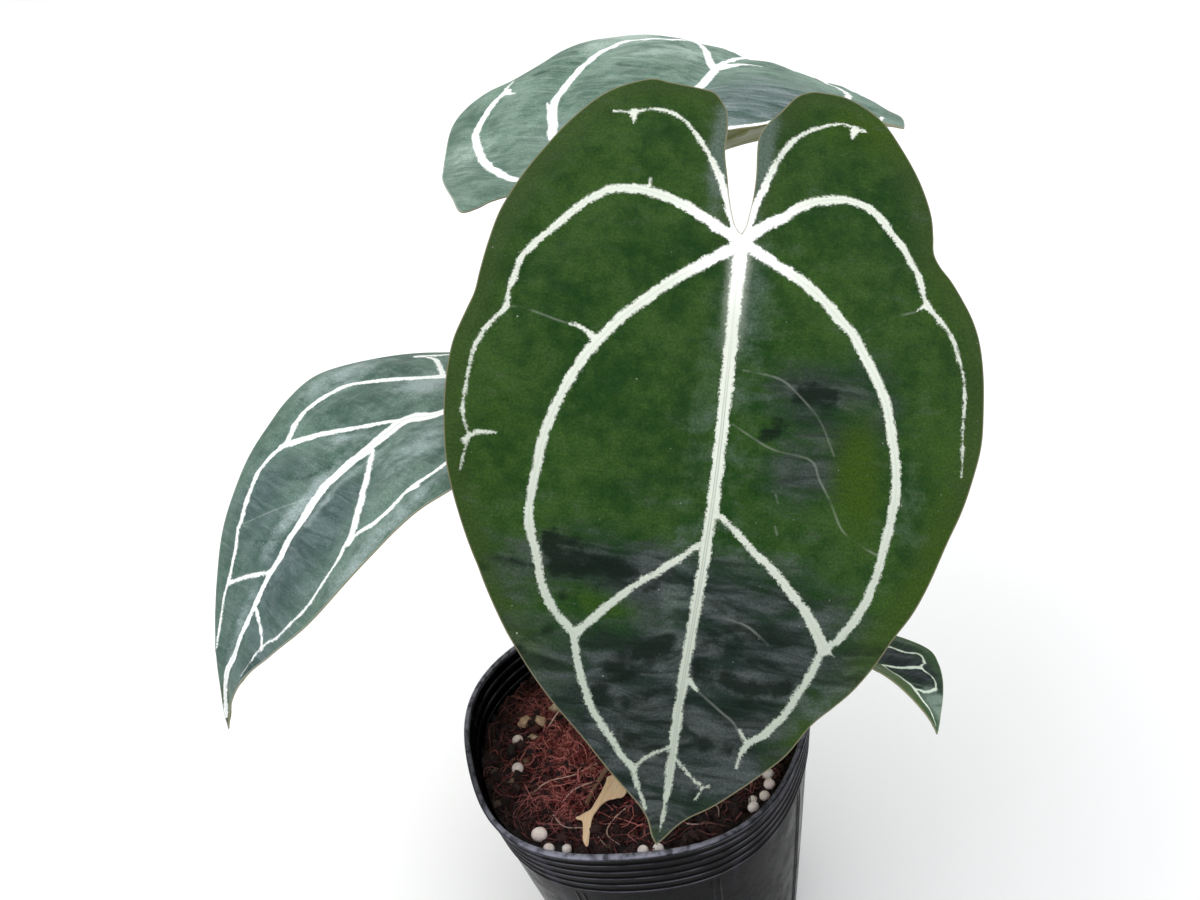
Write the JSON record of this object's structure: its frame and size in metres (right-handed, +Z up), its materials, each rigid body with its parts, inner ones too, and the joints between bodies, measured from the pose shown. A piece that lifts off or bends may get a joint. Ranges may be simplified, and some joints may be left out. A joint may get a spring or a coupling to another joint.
{
  "type": "potted anthurium hybrid",
  "caption": "Young velvet-leaved anthurium in a round tapered nursery pot: heart-shaped leaves with pale raised veins on slender stalks from a short rootstock in potting mix.",
  "frame": {"origin": "centre of the pot's base, on the surface it stands on", "axes": "+Z up along the pot's axis; -Y towards the side that the front leaf faces; +X to the right seen from there"},
  "size_m": [0.2568, 0.3141, 0.2727],
  "materials": {
    "pot_plastic": "glossy black, slightly dusty",
    "potting_mix": "coarse red-brown coir and bark",
    "rootstock": "dry fibrous sheaths",
    "leaf": "velvety green with pale raised veins",
    "leaf_stalk": "smooth green, semi-gloss",
    "fertiliser_bead": "smooth pale coating",
    "buff_chip": "rough",
    "dry_bract": "dry, papery"
  },
  "bodies": {
    "root": {"pot": "pot_plastic", "soil": "potting_mix", "stem": "rootstock", "blade_front": "leaf", "petiole_front": "leaf_stalk", "blade_left": "leaf", "petiole_left": "leaf_stalk", "blade_back": "leaf", "petiole_back": "leaf_stalk", "blade_right": "leaf", "petiole_right": "leaf_stalk", "prill_1": "fertiliser_bead", "prill_2": "fertiliser_bead", "prill_3": "fertiliser_bead", "prill_4": "fertiliser_bead", "prill_5": "fertiliser_bead", "prill_6": "fertiliser_bead", "prill_7": "fertiliser_bead", "prill_8": "fertiliser_bead", "prill_9": "fertiliser_bead", "prill_10": "fertiliser_bead", "prill_11": "fertiliser_bead", "prill_12": "fertiliser_bead", "chip_1": "buff_chip", "chip_2": "buff_chip", "chip_3": "buff_chip", "chip_4": "buff_chip", "bract": "dry_bract"}
  },
  "joints": []
}
